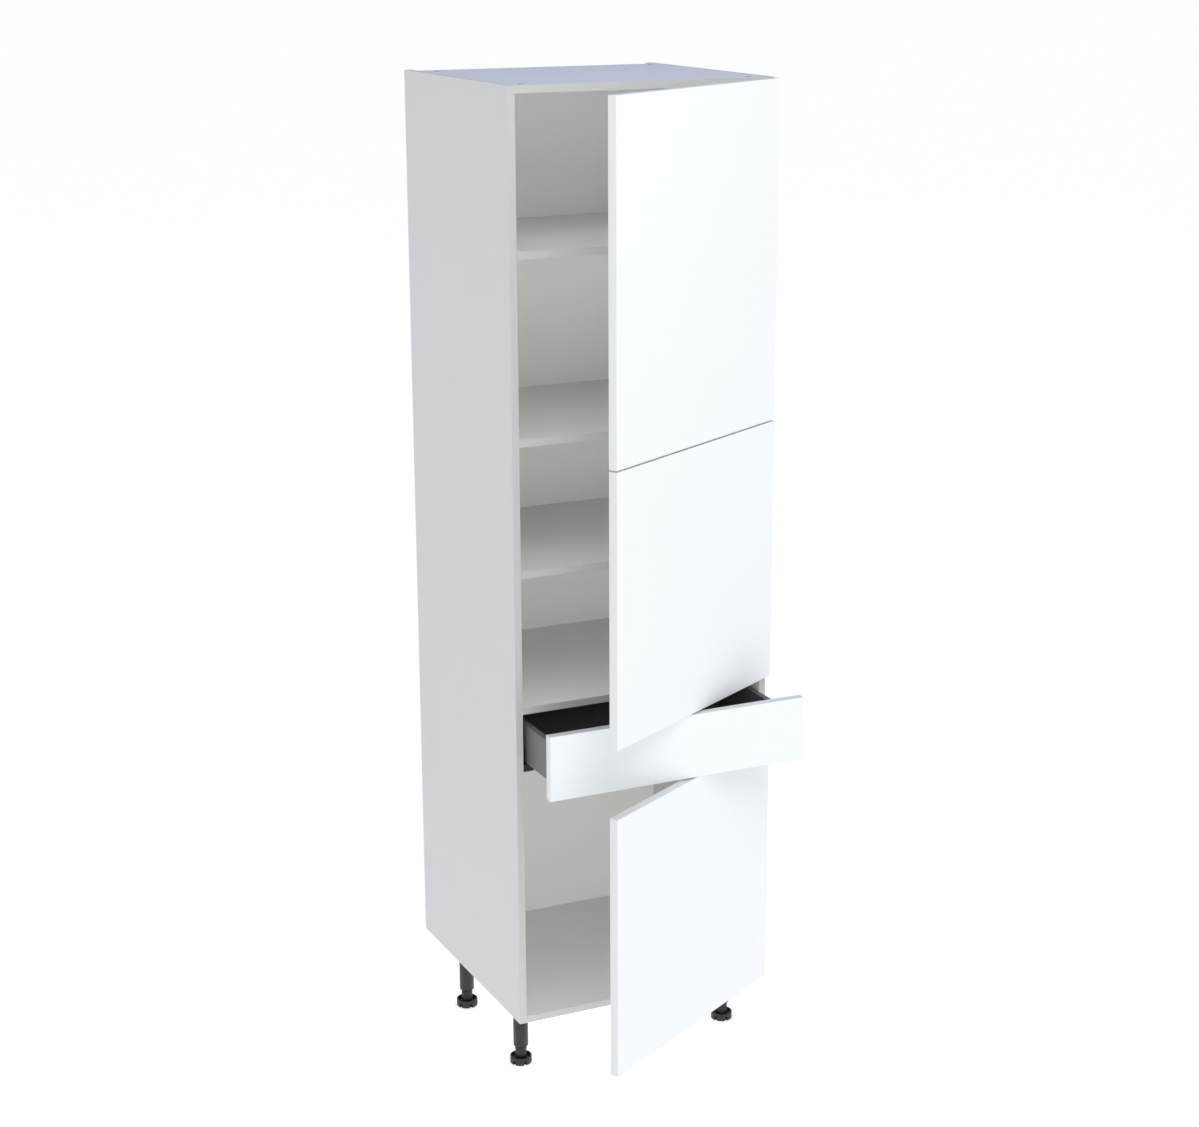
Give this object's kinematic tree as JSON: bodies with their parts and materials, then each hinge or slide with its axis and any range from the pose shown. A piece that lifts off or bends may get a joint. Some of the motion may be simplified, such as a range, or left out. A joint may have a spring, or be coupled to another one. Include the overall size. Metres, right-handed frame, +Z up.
{
  "type": "pantry cabinet",
  "caption": "Tall freestanding pantry cabinet on levelling legs, with hinged doors stacked above and below a pull-out drawer and shelves inside.",
  "frame": {"origin": "middle of the carcass's flat underside, 0.147 m above the floor that the feet stand on", "axes": "+X towards the hinge side (right, seen from the front), -Y towards the front, +Z up"},
  "size_m": [0.6026, 0.8857, 2.163],
  "materials": {
    "carcass_board": "white melamine, satin, on chipboard",
    "back_board": "white melamine, satin, on fibreboard",
    "carcass_edge": "satin edge strip",
    "shelf_pin_metal": "nickel plated",
    "cam_zinc": "die-cast, dull",
    "zinc_screw": "zinc plated",
    "dowel_beech": "raw",
    "leg_plastic": "moulded, matt black",
    "front_board": "white foil, smooth satin, on chipboard",
    "front_edge": "satin edge strip",
    "hinge_nickel": "nickel plated",
    "bumper_rubber": "clear, soft",
    "runner_steel": "black powder coat",
    "runner_plastic": "moulded, matt black",
    "drawer_side_steel": "graphite powder coat",
    "drawer_board": "dark grey melamine, matt, on chipboard"
  },
  "bodies": {
    "carcass": {"left_side_panel": "carcass_board", "right_side_panel": "carcass_board", "bottom_panel": "carcass_board", "drawer_cover_shelf": "carcass_board", "middle_fixed_shelf": "carcass_board", "top_panel": "carcass_board", "upper_adjustable_shelf": "carcass_board", "lower_adjustable_shelf": "carcass_board", "back_panel": "back_board", "shelf_pins": "shelf_pin_metal", "side_edge_bands": "carcass_edge", "panel_edge_bands": "carcass_edge", "shelf_edge_bands": "carcass_edge", "cam_locks": "cam_zinc", "cam_bolts": "zinc_screw", "wood_dowels": "dowel_beech", "leg_plates": "leg_plastic", "leg_plate_screws": "zinc_screw", "leg_tubes": "leg_plastic", "hinge_arms": "hinge_nickel", "hinge_plates": "hinge_nickel", "hinge_plate_screws": "zinc_screw", "hinge_arm_screws": "zinc_screw", "runner_cabinet_members": "runner_steel", "runner_end_caps": "runner_plastic", "runner_screws": "zinc_screw"},
    "front_left_levelling_foot": {"front_left_foot": "leg_plastic"},
    "front_right_levelling_foot": {"front_right_foot": "leg_plastic"},
    "back_left_levelling_foot": {"back_left_foot": "leg_plastic"},
    "back_right_levelling_foot": {"back_right_foot": "leg_plastic"},
    "upper_door": {"upper_door_panel": "front_board", "upper_door_edge_bands": "front_edge", "upper_hinge_cups": "hinge_nickel", "upper_hinge_pins": "hinge_nickel", "upper_cup_screws": "zinc_screw", "upper_door_bumpers": "bumper_rubber"},
    "middle_door": {"middle_door_panel": "front_board", "middle_door_edge_bands": "front_edge", "middle_hinge_cups": "hinge_nickel", "middle_hinge_pins": "hinge_nickel", "middle_cup_screws": "zinc_screw", "middle_door_bumpers": "bumper_rubber"},
    "lower_door": {"lower_door_panel": "front_board", "lower_door_edge_bands": "front_edge", "lower_hinge_cups": "hinge_nickel", "lower_hinge_pins": "hinge_nickel", "lower_cup_screws": "zinc_screw", "lower_door_bumpers": "bumper_rubber"},
    "runner_middle": {"runner_middle_members": "runner_steel"},
    "drawer": {"drawer_front_panel": "front_board", "drawer_front_edge_bands": "front_edge", "drawer_left_side": "drawer_side_steel", "drawer_right_side": "drawer_side_steel", "drawer_bottom": "drawer_board", "drawer_back": "drawer_board", "drawer_front_brackets": "drawer_side_steel", "drawer_front_screws": "zinc_screw", "drawer_base_screws": "zinc_screw", "runner_drawer_members": "runner_steel"}
  },
  "joints": [
    {"name": "upper_door_swing", "type": "hinge", "parent": "carcass", "child": "upper_door", "pos_m": [0.2915, -0.297, 1.656], "axis": [0, 0, 1], "range_deg": [-30, 75]},
    {"name": "middle_door_swing", "type": "hinge", "parent": "carcass", "child": "middle_door", "pos_m": [0.2915, -0.297, 1.008], "axis": [0, 0, 1], "range_deg": [-30, 75]},
    {"name": "lower_door_swing", "type": "hinge", "parent": "carcass", "child": "lower_door", "pos_m": [0.2915, -0.297, 0.288], "axis": [0, 0, 1], "range_deg": [-30, 75]},
    {"name": "drawer_slide", "type": "slide", "parent": "carcass", "child": "drawer", "axis": [0, -1, 0], "range_m": [-0.15, 0.3]},
    {"name": "runner_middle_slide", "type": "slide", "parent": "carcass", "child": "runner_middle", "axis": [0, -1, 0], "range_m": [-0.075, 0.15]},
    {"name": "front_left_foot_level", "type": "slide", "parent": "carcass", "child": "front_left_levelling_foot", "axis": [0, 0, -1], "range_m": [-0.01, 0.02]},
    {"name": "front_right_foot_level", "type": "slide", "parent": "carcass", "child": "front_right_levelling_foot", "axis": [0, 0, -1], "range_m": [-0.01, 0.02]},
    {"name": "back_left_foot_level", "type": "slide", "parent": "carcass", "child": "back_left_levelling_foot", "axis": [0, 0, -1], "range_m": [-0.01, 0.02]},
    {"name": "back_right_foot_level", "type": "slide", "parent": "carcass", "child": "back_right_levelling_foot", "axis": [0, 0, -1], "range_m": [-0.01, 0.02]}
  ],
  "couplings": [
    {"joint": "runner_middle_slide", "follows": "drawer_slide", "ratio": 0.5}
  ]
}
